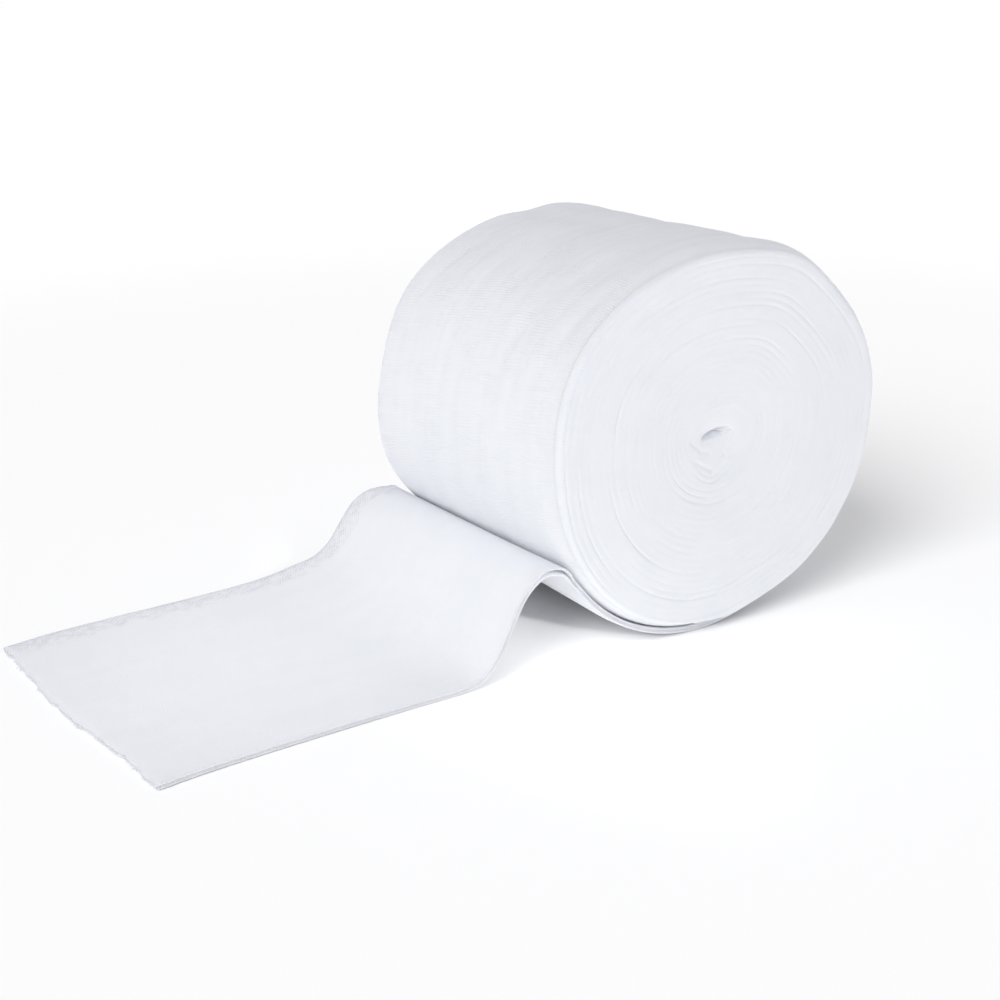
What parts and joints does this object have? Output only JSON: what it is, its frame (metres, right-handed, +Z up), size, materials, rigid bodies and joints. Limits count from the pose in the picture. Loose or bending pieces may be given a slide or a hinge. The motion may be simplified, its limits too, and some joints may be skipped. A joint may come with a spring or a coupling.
{
  "type": "gauze bandage roll",
  "caption": "Roll of folded cotton gauze bandage on its side, wound on itself with no core, its loose end folded over in a hump and laid out flat.",
  "frame": {"origin": "on the roll's flat spot, under its axis and half way between its faces", "axes": "+Z up, Y along the roll's axis with the face seen in front at -Y, the loose end runs out towards -X"},
  "size_m": [0.253, 0.1047, 0.119],
  "materials": {
    "gauze": "matt bleached cotton gauze"
  },
  "bodies": {
    "root": {"wound_roll": "gauze", "loose_end": "gauze"}
  },
  "joints": []
}
